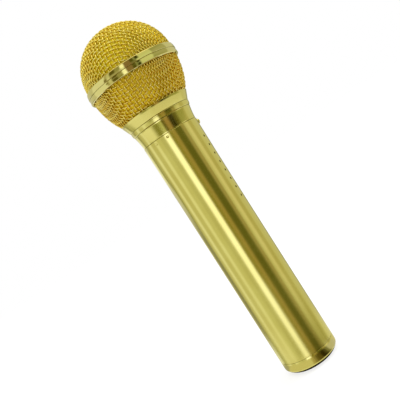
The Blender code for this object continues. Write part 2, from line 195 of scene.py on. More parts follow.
def wire_material(name, green=1.0):
    """Plated wire. green below 1 makes it a warmer gold."""

    def warm(r, g, b):
        return (r, g * green, b)

    mat, n, shader = shader_material(name, 1.0, warm(0.86, 0.74, 0.21))
    place = n.new("ShaderNodeTexCoord").outputs["Object"]
    grain = n.new(
        "ShaderNodeTexNoise",
        {"Vector": place, "Scale": 900.0, "Detail": 3.0, "Roughness": 0.6},
    ).outputs["Fac"]
    patch = n.new(
        "ShaderNodeTexNoise",
        {"Vector": place, "Scale": 160.0, "Detail": 2.0, "Roughness": 0.5},
    ).outputs["Fac"]
    hue = n.map_range(patch, 0.35, 0.65, 0.0, 1.0, smooth=True)
    # painted highlight and shade: the base colour is paler on each crown and browner where one wire dips under
    # another
    crown = n.new("ShaderNodeAttribute", attribute_name="crown").outputs["Fac"]
    painted_dip_shade = n.mix(hue, warm(0.62, 0.40, 0.04), warm(0.76, 0.56, 0.07))
    level = n.mix(hue, warm(0.86, 0.68, 0.09), warm(0.92, 0.79, 0.14))
    painted_crown_highlight = n.mix(hue, warm(0.97, 0.84, 0.20), warm(1.0, 0.93, 0.34))
    base = n.mix(n.map_range(crown, 0.0, 0.5, 0.0, 1.0), painted_dip_shade, level)
    base = n.mix(n.map_range(crown, 0.55, 0.95, 0.0, 1.0, smooth=True), base, painted_crown_highlight)
    n.tree.links.new(base, shader.inputs["Base Color"])
    rough = n.map_range(grain, 0.3, 0.7, 0.16, 0.26)
    rough = n.math("ADD", rough, n.map_range(crown, 0.0, 0.6, 0.14, 0.0))
    n.tree.links.new(rough, shader.inputs["Roughness"])
    # drawn brass keeps its colour even at a glancing angle
    shader.inputs["Specular Tint"].default_value = (0.96, 0.74, 0.28, 1.0)
    relief = n.new(
        "ShaderNodeBump", {"Height": grain, "Strength": 0.06, "Distance": 0.00005}
    ).outputs["Normal"]
    n.tree.links.new(relief, shader.inputs["Normal"])
    return mat


def liner_material(name, green=1.0):
    """Satin yellow liner behind the wire. green below 1 makes it more orange."""
    mat, n, shader = shader_material(
        name, 0.0, (0.72, 0.58 * green, 0.006), **{"Specular IOR Level": 0.2}
    )
    place = n.new("ShaderNodeTexCoord").outputs["Object"]
    broad = n.new(
        "ShaderNodeTexNoise",
        {"Vector": place, "Scale": 90.0, "Detail": 3.0, "Roughness": 0.5},
    ).outputs["Fac"]
    fine = n.new(
        "ShaderNodeTexNoise",
        {"Vector": place, "Scale": 1400.0, "Detail": 2.0, "Roughness": 0.5},
    ).outputs["Fac"]
    base = n.mix(
        n.map_range(broad, 0.35, 0.65, 0.0, 1.0, smooth=True),
        (0.70, 0.55 * green, 0.003),
        (0.82, 0.66 * green, 0.006),
    )
    base = n.mix(n.map_range(fine, 0.3, 0.6, 0.3, 0.0), base, (0.46, 0.32 * green, 0.004))
    n.tree.links.new(base, shader.inputs["Base Color"])
    n.tree.links.new(n.map_range(fine, 0.3, 0.7, 0.42, 0.62), shader.inputs["Roughness"])
    relief = n.new(
        "ShaderNodeBump", {"Height": fine, "Strength": 0.25, "Distance": 0.0001}
    ).outputs["Normal"]
    n.tree.links.new(relief, shader.inputs["Normal"])
    return mat


def moulded_material(name, color, roughness, grain=700.0, metallic=0.0, bump=0.08):
    """Moulded plastic, rubber or drawn steel, with a fine grain."""
    mat, n, shader = shader_material(name, metallic, color)
    place = n.new("ShaderNodeTexCoord").outputs["Object"]
    fine = n.new(
        "ShaderNodeTexNoise",
        {"Vector": place, "Scale": grain, "Detail": 4.0, "Roughness": 0.6},
    ).outputs["Fac"]
    broad = n.new(
        "ShaderNodeTexNoise",
        {"Vector": place, "Scale": 60.0, "Detail": 2.0, "Roughness": 0.5},
    ).outputs["Fac"]
    dark = tuple(c * 0.88 for c in color)
    n.tree.links.new(
        n.mix(n.map_range(broad, 0.35, 0.65, 0.0, 1.0), dark, color),
        shader.inputs["Base Color"],
    )
    n.tree.links.new(
        n.map_range(fine, 0.3, 0.7, roughness - 0.06, roughness + 0.08),
        shader.inputs["Roughness"],
    )
    relief = n.new(
        "ShaderNodeBump", {"Height": fine, "Strength": bump, "Distance": 0.0001}
    ).outputs["Normal"]
    n.tree.links.new(relief, shader.inputs["Normal"])
    return mat


wire_gold = wire_material("wire_gold")
liner_yellow = liner_material("liner_yellow")
# the lower cup is a slightly warmer gold than the dome
wire_gold_low = wire_material("wire_gold_low", 0.955)
liner_yellow_low = liner_material("liner_yellow_low", 0.92)
plastic = moulded_material("inner_plastic", (0.76, 0.75, 0.71), 0.42)
rubber = moulded_material("seal_rubber", (0.025, 0.025, 0.027), 0.62, grain=1200.0)
steel = moulded_material("spring_steel", (0.62, 0.61, 0.59), 0.28, metallic=1.0, bump=0.03)
SLOT_MATERIALS = {
    "gold_plate": small_gold,
    "gold_wire": wire_gold,
    "liner_yellow": liner_yellow,
    "inner_plastic": plastic,
    "seal_rubber": rubber,
    "spring_steel": steel,
}


# ------------------------------------------------------------------ mesh helpers
def add_mesh(name, verts_mm, faces, mat, sharp_angle=35.0, normals=None):
    """A new shaded object from points in millimetres. normals is an optional array of
    per-vertex directions; a zero row keeps Blender's own normal there."""
    mesh = bpy.data.meshes.new(name)
    mesh.from_pydata((np.asarray(verts_mm, float) * MM).tolist(), [], faces)
    mesh.update()
    mesh.materials.append(mat)
    mesh.shade_smooth()
    if sharp_angle is not None:
        mesh.set_sharp_from_angle(angle=math.radians(sharp_angle))
    if normals is not None:
        loops = np.zeros(len(mesh.loops), np.int32)
        mesh.loops.foreach_get("vertex_index", loops)
        flat = np.zeros(len(mesh.polygons) * 3)
        mesh.polygons.foreach_get("normal", flat)
        flat = flat.reshape(-1, 3)
        of_loop = np.repeat(
            np.arange(len(mesh.polygons)), [p.loop_total for p in mesh.polygons]
        )
        wanted = np.asarray(normals, float)[loops]
        size = np.linalg.norm(wanted, axis=1)
        near = (wanted * flat[of_loop]).sum(1) > 0.94 * np.maximum(size, 1e-9)
        wanted[~(near & (size > 0.5))] = 0.0
        mesh.normals_split_custom_set(wanted.tolist())
    obj = bpy.data.objects.new(name, mesh)
    bpy.context.scene.collection.objects.link(obj)
    return obj


def rounded(points, closed=True):
    """Turns (r, z) or (r, z, corner radius) points into an outline with round corners."""
    out = []
    count = len(points)
    for i, p in enumerate(points):
        radius = p[2] if len(p) > 2 else 0.0
        here = np.array(p[:2], float)
        if radius <= 0 or (not closed and i in (0, count - 1)):
            out.append(tuple(here))
            continue
        a = np.array(points[i - 1][:2], float) - here
        b = np.array(points[(i + 1) % count][:2], float) - here
        la, lb = np.linalg.norm(a), np.linalg.norm(b)
        a, b = a / la, b / lb
        angle = math.acos(max(-1.0, min(1.0, float(a @ b))))
        if angle > math.radians(175):
            out.append(tuple(here))
            continue
        reach = min(radius / math.tan(angle / 2), 0.48 * la, 0.48 * lb)
        radius = reach * math.tan(angle / 2)
        middle = (a + b) / np.linalg.norm(a + b)
        centre = here + middle * radius / math.sin(angle / 2)
        start, end = here + a * reach, here + b * reach
        t0 = math.atan2(*(start - centre)[::-1])
        t1 = math.atan2(*(end - centre)[::-1])
        turn = (t1 - t0 + math.pi) % (2 * math.pi) - math.pi
        steps = max(2, int(abs(turn) / math.radians(18)))
        for k in range(steps + 1):
            t = t0 + turn * k / steps
            out.append((centre[0] + radius * math.cos(t), centre[1] + radius * math.sin(t)))
    return out


def arc(cr, cz, radius, start, end, steps):
    return [
        (
            cr + radius * math.cos(math.radians(start + (end - start) * i / steps)),
            cz + radius * math.sin(math.radians(start + (end - start) * i / steps)),
        )
        for i in range(steps + 1)
    ]


def lathe(name, outline, mat, segments=192, sharp_angle=35.0, axis=None, start=0.0, lean=None):
    """Revolves a closed outline, listed anticlockwise in (r, z), into a closed body.
    lean(r, z) may give the tilt of the shading normal there in degrees, or None."""
    angles = start + 2 * math.pi * np.arange(segments) / segments
    verts, rings, faces = [], [], []
    for r, z in outline:
        if r < 1e-6:
            rings.append([len(verts)] * segments)
            verts.append((0.0, 0.0, z))
        else:
            rings.append(list(range(len(verts), len(verts) + segments)))
            verts += [(r * math.cos(a), r * math.sin(a), z) for a in angles]
    count = len(outline)
    for i in range(count):
        low, high = rings[i], rings[(i + 1) % count]
        for k in range(segments):
            m = (k + 1) % segments
            face = []
            for v in (low[k], low[m], high[m], high[k]):
                if v not in face:
                    face.append(v)
            if len(face) > 2:
                faces.append(face)
    verts = np.array(verts)
    if axis is not None:
        verts = axis(verts)
    normals = None
    if lean is not None:
        normals = np.zeros((len(verts), 3))
        for (r, z), ring in zip(outline, rings):
            tilt = lean(r, z)
            if tilt is not None and r > 1e-6:
                c, t = math.cos(math.radians(tilt)), -math.sin(math.radians(tilt))
                for v, a in zip(ring, angles):
                    normals[v] = (c * math.cos(a), c * math.sin(a), t)
    return add_mesh(name, verts, faces, mat, sharp_angle, normals)


# ------------------------------------------------------------------ drilled tube
TUBE_LOW, TUBE_TOP = 9.12, 165.65
TUBE_FLARE = 120.0


def tube_radius(z):
    z = np.asarray(z, float)
    t = np.clip((z - TUBE_FLARE) / (165.5 - TUBE_FLARE), 0, 1)
    return 18.3 + 0.3 * t * t * (1.5 - 0.5 * t)


def build_tube():
    """The outer skin is a grid with a round, softly rolled edge at each spray hole and at
    the button hole; straight walls lead from there to the bore."""
    pitch = 6.0
    step = pitch / 18.3
    field = 5 * step  # the drilled sector
    cells_per_side = 6
    rest = 96
    inner_angles = [
        -math.pi / 2 - field / 2 + step * c / cells_per_side
        for c in range(5 * cells_per_side + 1)
    ]
    gap = 2 * math.pi - field
    outer_angles = [inner_angles[-1] + gap * k / rest for k in range(1, rest)]
    angles = inner_angles + outer_angles
    cols = len(angles)
    holes_z = [111.3 + pitch * k for k in range(8)]
    heights = [TUBE_LOW + 0.02]
    edge, low_edge = 0.22, 0.08
    levels = [
        TUBE_LOW + low_edge,
        *np.linspace(TUBE_LOW + low_edge + 2, 108.3, 26)[:-1],
        *[108.3 + k for k in range(49)],
        158.7,
        161.0,
    ]
    low_cell, high_cell = 161.0, TUBE_TOP - edge
    levels += [low_cell + (high_cell - low_cell) * k / 6 for k in range(1, 7)]
    heights = levels
    rows = len(heights)
    verts, normals, faces = [], [], []

    def skin(a, z, depth=0.0):
        r = float(tube_radius(z)) - depth
        verts.append((r * math.cos(a), r * math.sin(a), z))
        normals.append((math.cos(a), math.sin(a), -0.004) if depth == 0 else (0, 0, 0))
        return len(verts) - 1

    def dent(row0, col0, n, centre_a, centre_z, radius, deep):
        """A small punched dimple in place of an n by n block of cells."""
        boundary = [(row0, col0 + k) for k in range(n)]
        boundary += [(row0 + k, col0 + n) for k in range(n)]
        boundary += [(row0 + n, col0 + n - k) for k in range(n)]
        boundary += [(row0 + n - k, col0) for k in range(n)]
        for r in range(n):
            for c in range(n):
                opened.add((row0 + r, col0 + c))
        spokes = []
        for r, c in boundary:
            u, v = (angles[c % cols] - centre_a) * 18.3, heights[r] - centre_z
            spokes.append((math.atan2(v, u), math.hypot(u, v)))
        rings = [[grid[r][c % cols] for r, c in boundary]]
        for share, depth in (
            (1.5, 0.0),
            (1.12, 0.0),
            (0.92, deep * 0.18),
            (0.7, deep * 0.6),
            (0.42, deep * 0.9),
            (0.18, deep),
        ):
            rings.append(
                [
                    skin(
                        centre_a + min(radius * share, 0.9 * far) * math.cos(t) / 18.3,
                        centre_z + min(radius * share, 0.9 * far) * math.sin(t),
                        depth,
                    )
                    for t, far in spokes
                ]
            )
        count = len(boundary)
        for outer, inner in zip(rings[:-1], rings[1:]):
            for k in range(count):
                m = (k + 1) % count
                faces.append((outer[k], outer[m], inner[m], inner[k]))
        faces.append(tuple(rings[-1]))

    grid = [[skin(a, z) for a in angles] for z in heights]
    opened = set()
    shaded_faces = set()  # faces inside the holes and the bore, which get a near-black material as painted shade
    bore = 16.1

    def drill(row0, col0, n, centre_a, centre_z, radius, roll, out_to_bore):
        """Replaces an n by n block of cells with a radial patch round a hole."""
        boundary = []
        for k in range(n):
            boundary.append((row0, col0 + k))
        for k in range(n):
            boundary.append((row0 + k, col0 + n))
        for k in range(n):
            boundary.append((row0 + n, col0 + n - k))
        for k in range(n):
            boundary.append((row0 + n - k, col0))
        for r in range(n):
            for c in range(n):
                opened.add((row0 + r, col0 + c))
        spokes = []
        for r, c in boundary:
            a, z = angles[c % cols], heights[r]
            u = (a - centre_a) * 18.3
            v = z - centre_z
            spokes.append((math.atan2(v, u), math.hypot(u, v)))
        rings = [[grid[r][c % cols] for r, c in boundary]]

        def ring(rad, depth):
            made = []
            for t, far in spokes:
                u, v = rad(far) * math.cos(t), rad(far) * math.sin(t)
                made.append(skin(centre_a + math.asin(u / 18.3), centre_z + v, depth))
            rings.append(made)

        ring(lambda far: radius + roll + 0.45 * (far - radius - roll), 0.0)
        ring(lambda far: radius + roll, 0.0)
        ring(lambda far: radius + roll * 0.3, roll * 0.3)
        ring(lambda far: radius, roll)
        made = []
        for t, _ in spokes:
            u, v = radius * math.cos(t), radius * math.sin(t)
            a = centre_a + math.asin(u / out_to_bore)
            verts.append((out_to_bore * math.cos(a), out_to_bore * math.sin(a), centre_z + v))
            normals.append((0, 0, 0))
            made.append(len(verts) - 1)
        rings.append(made)
        count = len(boundary)
        for step_in, (outer, inner) in enumerate(zip(rings[:-1], rings[1:])):
            for k in range(count):
                m = (k + 1) % count
                if step_in >= 3:
                    shaded_faces.add(len(faces))
                faces.append((outer[k], outer[m], inner[m], inner[k]))
        return made

    first_row = heights.index(108.3) if 108.3 in heights else min(
        range(rows), key=lambda i: abs(heights[i] - 108.3)
    )
    for k, z in enumerate(holes_z):
        for c in range(5):
            centre = -math.pi / 2 + step * (c - 2)
            drill(first_row + 6 * k, 6 * c, 6, centre, z, 0.7, 0.2, 15.95)
    button_row = min(range(rows), key=lambda i: abs(heights[i] - low_cell))
    drill(button_row, 12, 6, -math.pi / 2, 163.3, 1.9, 0.15, 15.95)
    # two punch marks that stake the tube to the neck
    for bearing, row in ((159.0, button_row + 2), (133.0, button_row + 2)):
        want = math.radians(bearing)
        col = min(
            range(len(inner_angles), cols - 2),
            key=lambda c: abs((angles[c] - want + math.pi) % (2 * math.pi) - math.pi),
        )
        mid_a = (angles[col - 1] + angles[col + 2]) / 2
        mid_z = (heights[row] + heights[row + 3]) / 2 + 0.1
        dent(row, col - 1, 3, mid_a, mid_z, 0.86, 0.30)
    for r in range(rows - 1):
        for c in range(cols):
            if (r, c) in opened:
                continue
            m = (c + 1) % cols
            faces.append((grid[r][c], grid[r][m], grid[r + 1][m], grid[r + 1][c]))

    # rolled rims and the bore
    def plain_ring(r, z):
        base = len(verts)
        for a in angles:
            verts.append((r * math.cos(a), r * math.sin(a), z))
            normals.append((0, 0, 0))
        return list(range(base, base + cols))

    def bridge(a, b):
        for k in range(cols):
            m = (k + 1) % cols
            faces.append((a[k], a[m], b[m], b[k]))

    top_r, low_r = float(tube_radius(TUBE_TOP)), 18.3
    chain = [grid[-1]]
    for t in (30, 60, 90):
        t = math.radians(t)
        chain.append(
            plain_ring(top_r - edge + edge * math.cos(t), TUBE_TOP - edge + edge * math.sin(t))
        )
    chain.append(plain_ring(bore + 0.15, TUBE_TOP))
    chain.append(plain_ring(bore, TUBE_TOP - 0.15))
    chain.append(plain_ring(bore, 105.8))
    chain.append(plain_ring(15.4, 105.8))
    chain.append(plain_ring(15.4, 20.6))
    chain.append(plain_ring(bore, 20.6))
    chain.append(plain_ring(bore, TUBE_LOW))
    for t in (90, 60, 30):
        t = math.radians(t)
        chain.append(
            plain_ring(
                low_r - low_edge + low_edge * math.cos(t),
                TUBE_LOW + low_edge - low_edge * math.sin(t),
            )
        )
    chain.append(grid[0])
    for k, (a, b) in enumerate(zip(chain[:-1], chain[1:])):
        if 4 <= k <= 10:
            shaded_faces.update(range(len(faces), len(faces) + cols))
        bridge(a, b)
    obj = add_mesh("handle_tube_fine", verts, faces, tube_gold, 40.0, normals)
    obj.data.materials.append(bore_painted_shade)
    for k in shaded_faces:
        obj.data.polygons[k].material_index = 1
    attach(obj, "handle")
    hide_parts("handle_tube")
    return obj


build_tube()


# ------------------------------------------------------------------ turned pieces
def turned(name, outline, body, nodes, mat=turned_gold, segments=192, **more):
    obj = lathe(name, outline, mat, segments, **more)
    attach(obj, body)
    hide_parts(*nodes)
    return obj


# end cap: rolled rim round the recess for the hose nut, spigot up inside the tube
def smooth_line(points, count):
    """A smooth curve (Catmull-Rom) through the points."""
    p = np.array(points, float)
    p = np.vstack([2 * p[0] - p[1], p, 2 * p[-1] - p[-2]])
    out = []
    for i in range(1, len(p) - 2):
        a, b, c, d = p[i - 1 : i + 3]
        for k in range(count):
            t = k / count
            out.append(
                tuple(
                    0.5
                    * (
                        2 * b
                        + (c - a) * t
                        + (2 * a - 5 * b + 4 * c - d) * t * t
                        + (3 * b - a - 3 * c + d) * t**3
                    )
                )
            )
    return out + [tuple(p[-2])]


turned(
    "end_cap_fine",
    [(12.5, 0.25), (12.57, 0.08), (12.75, 0.0)]
    + smooth_line(
        [
            (13.13, 0.0),
            (14.6, 0.5),
            (16.1, 1.4),
            (17.25, 2.4),
            (17.95, 3.35),
            (18.23, 4.1),
            (18.3, 4.8),
        ],
        5,
    )
    + rounded(
        [(18.3, 7.6), (18.3, 9.03, 0.07), (15.9, 9.03), (15.8, 9.2), (15.8, 15.7, 0.2), (12.5, 15.7, 0.2)],
        closed=False,
    ),
    "handle",
    ["end_cap"],
    mat=cap_gold,
)

# neck adapter: flares from the tube to the ball's trim ring
turned(
    "neck_adapter_fine",
    rounded(
        [
            (5.5, 159.7),
            (15.4, 159.7),
            (15.8, 160.1),
            (15.8, 165.85),
            (18.40, 165.85, 0.16),
            (18.46, 166.6),
            (18.56, 167.6),
            (18.67, 168.6),
            (18.80, 169.6),
            (18.95, 170.6),
            (19.12, 171.6),
            (19.31, 172.6),
            (19.50, 173.5),
            (19.62, 174.32, 0.14),
            (12.6, 174.32),
            (12.3, 174.0),
            (12.3, 167.6),
            (5.5, 167.6),
        ]
    ),
    "handle",
    ["neck_adapter"],
    lean=lambda r, z: 15.8 + 3.4 * (z - 166.0) / 8.0 if r > 18.2 and 166.0 < z < 174.15 else None,
)

# trim ring: a thin bead between neck and collar
turned(
    "trim_ring_fine",
    rounded(
        [
            (12.7, 174.46, 0.15),
            (19.66, 174.46, 0.12),
            (19.95, 174.75),
            (20.17, 175.2),
            (20.33, 175.8),
            (20.42, 176.4),
            (20.47, 177.0),
            (20.46, 177.46, 0.14),
            (12.7, 177.46, 0.15),
        ]
    ),
    "ring",
    ["trim_ring"],
    lean=lambda r, z: 11.0 + 6.0 * (z - 174.6) / 2.7 if r > 19.8 and 174.6 < z < 177.3 else None,
)

# collar: cone under the lower grille, open above
collar_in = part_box("collar")
turned(
    "collar_fine",
    rounded(
        [
            (16.55, 177.7),
            (16.9, 177.6),
            (20.44, 177.6, 0.14),
            (20.62, 177.95, 0.1),
            (21.2, 179.25),
            (21.8, 180.6),
            (22.4, 181.98),
            (23.0, 183.35, 0.15),
            (22.75, 183.55, 0.1),
            (22.3, 183.45, 0.1),
            (21.2, 181.2),
            (20.3, 179.3),
            (16.55, 179.25),
        ]
    ),
    "head",
    ["collar"],
)

# the two halves of the band, each with a turned lip that grips the grille's edge
turned(
    "band_lower_fine",
    rounded(
        [
            (29.62, 204.4, 0.08),
            (30.2, 204.2, 0.1),
            (30.70, 204.55, 0.15),
            (30.85, 204.85, 0.2),
            (30.78, 205.7),
            (30.69, 206.6),
            (30.60, 207.48, 0.05),
            (30.52, 207.56, 0.03),
            (28.4, 207.56, 0.1),
            (28.4, 206.75, 0.1),
            (29.62, 206.75),
        ]
    ),
    "head",
    ["band_lower"],
    mat=band_gold,
    segments=240,
    lean=lambda r, z: -3.0 - 8.0 * (207.4 - z) / 2.6 if r > 30.55 and 204.7 < z < 207.45 else None,
)
turned(
    "band_upper_fine",
    rounded(
        [
            (30.7, 207.64, 0.05),
            (30.85, 207.80, 0.08),
            (30.80, 208.5),
            (30.73, 209.2),
            (30.62, 209.9),
            (30.48, 210.5),
            (30.32, 210.95, 0.2),
            (30.05, 211.2, 0.08),
            (29.74, 211.05, 0.05),
            (29.74, 208.45),
            (28.4, 208.45, 0.1),
            (28.4, 207.64, 0.1),
        ]
    ),
    "head",
    ["band_upper"],
    mat=band_gold,
    segments=240,
    lean=lambda r, z: -3.0 - 8.0 * (z - 207.95) / 2.6 if r > 30.4 and 207.8 < z < 210.6 else None,
)


# lock button: turned about the -Y line through its centre
def along_minus_y(points):
    x, y, z = points.T
    return np.stack([x, -z, y + 163.3], 1)


tip = 20.4
turned(
    "lock_button_fine",
    [(0.0, 13.4), (1.0, 13.4), (1.0, 14.9), (2.4, 14.9), (2.4, 15.7), (1.6, 15.7)]
    + [(1.6, 17.9), (1.74, 18.1), (1.74, tip - 1.25)]
    + [
        (1.74 * math.cos(t) ** 0.8, tip - 1.25 + 1.25 * math.sin(t))
        for t in np.linspace(0.15, math.pi / 2 - 0.12, 10)
    ]
    + [(0.0, tip)],
    "button",
    ["lock_button"],
    mat=small_gold,
    segments=48,
    axis=along_minus_y,
)


def build_button_spring():
    """Compression spring behind the button, with closed and ground-looking end coils."""
    coil_r, wire, sides, per_turn = 1.75, 0.22, 12, 40
    start, end, turns = -14.4, -8.7, 5
    steps = turns * per_turn
    verts, faces = [], []
    for i in range(steps + 1):
        t = i / steps
        # end coils lie almost flat
        rise = t + 0.055 * math.sin(2 * math.pi * t) * -1.0
        a = 2 * math.pi * i / per_turn
        y = start + (end - start) * rise
        for k in range(sides):
            b = 2 * math.pi * k / sides
            r = coil_r + wire * math.cos(b)
            verts.append((r * math.cos(a), y + wire * math.sin(b), 163.3 + r * math.sin(a)))
    for i in range(steps):
        for k in range(sides):
            n = (k + 1) % sides
            faces.append(
                (i * sides + k, i * sides + n, (i + 1) * sides + n, (i + 1) * sides + k)
            )
    faces.append(tuple(range(sides))[::-1])
    faces.append(tuple(steps * sides + k for k in range(sides)))
    obj = add_mesh("button_spring_fine", verts, faces, steel, 50.0)
    # faces point outwards
    obj.data.update()
    first = obj.data.polygons[0]
    a = 0.5 * 2 * math.pi / per_turn
    axis_point = Vector((coil_r * math.cos(a), 0.0, 163.3 + coil_r * math.sin(a))) * MM
    axis_point.y = first.center.y
    away = first.center - axis_point
    if first.normal.dot(away) < 0 and away.length > wire * MM * 0.5:
        obj.data.flip_normals()
    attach(obj, "handle")
    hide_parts("button_spring")
    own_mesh(obj)


build_button_spring()


# ------------------------------------------------------------------ woven wire ball
WIRE_R = 0.37
WEAVE = 0.37
PITCH = 2.65


class Meridian:
    """A turned surface's profile, by arc length from its pole."""

    def __init__(self, points, inward):
        p = np.array(points, float)
        d = np.gradient(p, axis=0)
        d /= np.linalg.norm(d, axis=1)[:, None]
        out = np.stack([d[:, 1], -d[:, 0]], 1)
        side = np.sign((out * (p - np.array([0.0, p[:, 1].mean()]))).sum(1).mean())
        out *= side
        p = p - out * inward
        p[0] = (0.0, p[0][1])
        self.s = np.concatenate([[0], np.cumsum(np.linalg.norm(np.diff(p, axis=0), axis=1))])
        self.p, self.out = p, out
        self.out[0] = (0.0, np.sign(out[0][1]))

    def at(self, s):
        return np.interp(s, self.s, self.p[:, 0]), np.interp(s, self.s, self.p[:, 1])

    def point(self, s, a):
        r, z = self.at(s)
        return np.array([r * math.cos(a), r * math.sin(a), z])

    def normal(self, s, a):
        r = np.interp(s, self.s, self.out[:, 0])
        z = np.interp(s, self.s, self.out[:, 1])
        size = math.hypot(r, z)
        return np.array([r * math.cos(a), r * math.sin(a), z]) / size


def net(line, pitch):
    """Knots of a square cloth laid from the pole: every mesh keeps its side length, so
    the cloth shears between its two straight threads. Returns {(i, j): (s, angle)}."""
    reach = line.s[-1]
    steps = int(reach / pitch)
    knots = {(0, 0): (0.0, 0.0)}
    for i in range(1, steps + 1):
        knots[(i, 0)] = (i * pitch, 0.0)
        knots[(0, i)] = (i * pitch, math.pi / 2)
    for total in range(2, 4 * steps):
        for i in range(1, total):
            j = total - i
            before, after = knots.get((i - 1, j)), knots.get((i, j - 1))
            if before is None or after is None:
                continue
            pa, pb = line.point(*before), line.point(*after)
            corner = line.point(*knots[(i - 1, j - 1)])
            guess = pa + pb - corner
            a = math.atan2(guess[1], guess[0])
            s = max(before[0], after[0]) + 0.3 * pitch
            x = np.array([s, a])
            for _ in range(30):
                p = line.point(*x)
                f = np.array([(p - pa) @ (p - pa) - pitch**2, (p - pb) @ (p - pb) - pitch**2])
                ds, da = (line.point(x[0] + 1e-4, x[1]) - p) / 1e-4, (line.point(x[0], x[1] + 1e-5) - p) / 1e-5
                jac = 2 * np.array([[(p - pa) @ ds, (p - pa) @ da], [(p - pb) @ ds, (p - pb) @ da]])
                if abs(np.linalg.det(jac)) < 1e-9:
                    break
                change = np.linalg.solve(jac, f)
                change[0] = np.clip(change[0], -0.6, 0.6)
                change[1] = np.clip(change[1], -0.2, 0.2)
                x = x - change
                if abs(f).max() < 1e-7:
                    break
            if x[0] >= reach - 0.01 or abs(f).max() > 1e-3:
                continue
            knots[(i, j)] = (float(x[0]), float(x[1]))
    return knots


def weave(name, line, keep, turn, mat, per_step=5, sides=8):
    """Two crossing families of wires that pass over and under each other. keep(point)
    says whether a wire is still inside the rim there."""
    quarter = net(line, PITCH)
    sheet = {}
    for (i, j), (s, a) in quarter.items():
        for q in range(4):
            x, y = [(i, j), (-j, i), (-i, -j), (j, -i)][q]
            sheet[(x, y)] = (line.point(s, a + q * math.pi / 2), line.normal(s, a + q * math.pi / 2))
    spin = np.array(
        [[math.cos(turn), -math.sin(turn), 0], [math.sin(turn), math.cos(turn), 0], [0, 0, 1]]
    )
    span = max(max(abs(i), abs(j)) for i, j in sheet)
    verts, faces, crowns = [], [], []
    base_index = 0
    circle = 2 * math.pi * (np.arange(sides) + 0.5) / sides
    for family in (0, 1):
        for j in range(-span, span + 1):
            run = []
            runs = []
            for i in range(-span, span + 1):
                key = (i, j) if family == 0 else (j, i)
                if key in sheet:
                    run.append((i, *sheet[key]))
                elif run:
                    runs.append(run)
                    run = []
            if run:
                runs.append(run)
            for run in runs:
                if len(run) < 3:
                    continue
                index = np.array([k[0] for k in run])
                p = np.array([k[1] for k in run])
                out = np.array([k[2] for k in run])
                high = 1.0 if family == 0 else -1.0
                lift = high * WEAVE * np.where((index + j) % 2 == 0, 1.0, -1.0)
                # smooth line through the knots
                ext = np.vstack([2 * p[0] - p[1], p, 2 * p[-1] - p[-2]])
                pts, nrm, off = [], [], []
                for k in range(len(p) - 1):
                    for m in range(per_step):
                        t = m / per_step
                        a, b, c, d = ext[k], ext[k + 1], ext[k + 2], ext[k + 3]
                        pts.append(
                            0.5
                            * (
                                2 * b
                                + (c - a) * t
                                + (2 * a - 5 * b + 4 * c - d) * t * t
                                + (3 * b - a - 3 * c + d) * t**3
                            )
                        )
                        nn = out[k] * (1 - t) + out[k + 1] * t
                        nrm.append(nn / np.linalg.norm(nn))
                        wave = math.cos(math.pi * t)
                        # crowns a little flatter than a sine, as drawn wire lies
                        wave = math.copysign(abs(wave) ** 0.85, wave)
                        off.append(lift[k] * wave)
                pts.append(p[-1])
                nrm.append(out[-1])
                off.append(lift[-1])
                pts, nrm, off = np.array(pts), np.array(nrm), np.array(off)
                inside = np.array([keep(q) for q in pts])
                k0 = 0
                while k0 < len(pts):
                    if not inside[k0]:
                        k0 += 1
                        continue
                    k1 = k0
                    while k1 < len(pts) and inside[k1]:
                        k1 += 1
                    if k1 - k0 >= 4:
                        q = pts[k0:k1] + nrm[k0:k1] * off[k0:k1, None]
                        t = np.gradient(q, axis=0)
                        t /= np.linalg.norm(t, axis=1)[:, None]
                        b = np.cross(t, nrm[k0:k1])
                        b /= np.linalg.norm(b, axis=1)[:, None]
                        n2 = np.cross(b, t)
                        ring = (
                            q[:, None, :]
                            + WIRE_R * np.cos(circle)[None, :, None] * n2[:, None, :]
                            + WIRE_R * np.sin(circle)[None, :, None] * b[:, None, :]
                        )
                        ring = ring @ spin.T
                        length = len(q)
                        verts.append(ring.reshape(-1, 3))
                        height = (off[k0:k1, None] + WIRE_R * np.cos(circle)[None, :]) / (
                            WEAVE + WIRE_R
                        )
                        crowns.append(((height + 1) / 2).reshape(-1))
                        rows = np.arange(length - 1)[:, None] * sides + base_index
                        cols = np.arange(sides)[None, :]
                        nxt = (cols + 1) % sides
                        quad = np.stack(
                            [rows + cols, rows + nxt, rows + sides + nxt, rows + sides + cols], -1
                        )
                        faces += quad.reshape(-1, 4)[:, ::-1].tolist()
                        faces.append([base_index + k for k in range(sides)])
                        last = base_index + (length - 1) * sides
                        faces.append([last + k for k in range(sides)][::-1])
                        base_index += length * sides
                    k0 = k1
    obj = add_mesh(name, np.concatenate(verts), faces, mat, None)
    # height on each wire, read by the wire material for its painted highlight on crowns and painted shade in
    # dips
    crown = obj.data.attributes.new("crown", "FLOAT", "POINT")
    crown.data.foreach_set("value", np.concatenate(crowns).astype(np.float32))
    return obj


def dome_outer(steps=160):
    line = []
    for k in range(steps + 1):
        a = math.pi / 2 * (1 - k / steps)
        r = 29.65 * abs(math.cos(a)) ** (2 / 2.05)
        z = 211.4 + 28.6 * abs(math.sin(a)) ** (2 / 2.05)
        line.append((0.0 if k == 0 else r, z))
    even = Even(line, 400)
    even += [(29.65 - 0.1 * k / 12, 211.4 - 2.9 * k / 12) for k in range(1, 13)]
    return even


def Even(line, count):
    p = np.array(line, float)
    s = np.concatenate([[0], np.cumsum(np.linalg.norm(np.diff(p, axis=0), axis=1))])
    t = np.linspace(0, s[-1], count)
    return [(float(np.interp(x, s, p[:, 0])), float(np.interp(x, s, p[:, 1]))) for x in t]


BOWL = [
    (23.1, 183.85),
    (24.45, 186.0),
    (25.7, 188.5),
    (26.9, 191.5),
    (27.9, 194.6),
    (28.65, 197.6),
    (29.2, 200.6),
    (29.5, 203.9),
    (29.5, 206.6),
]


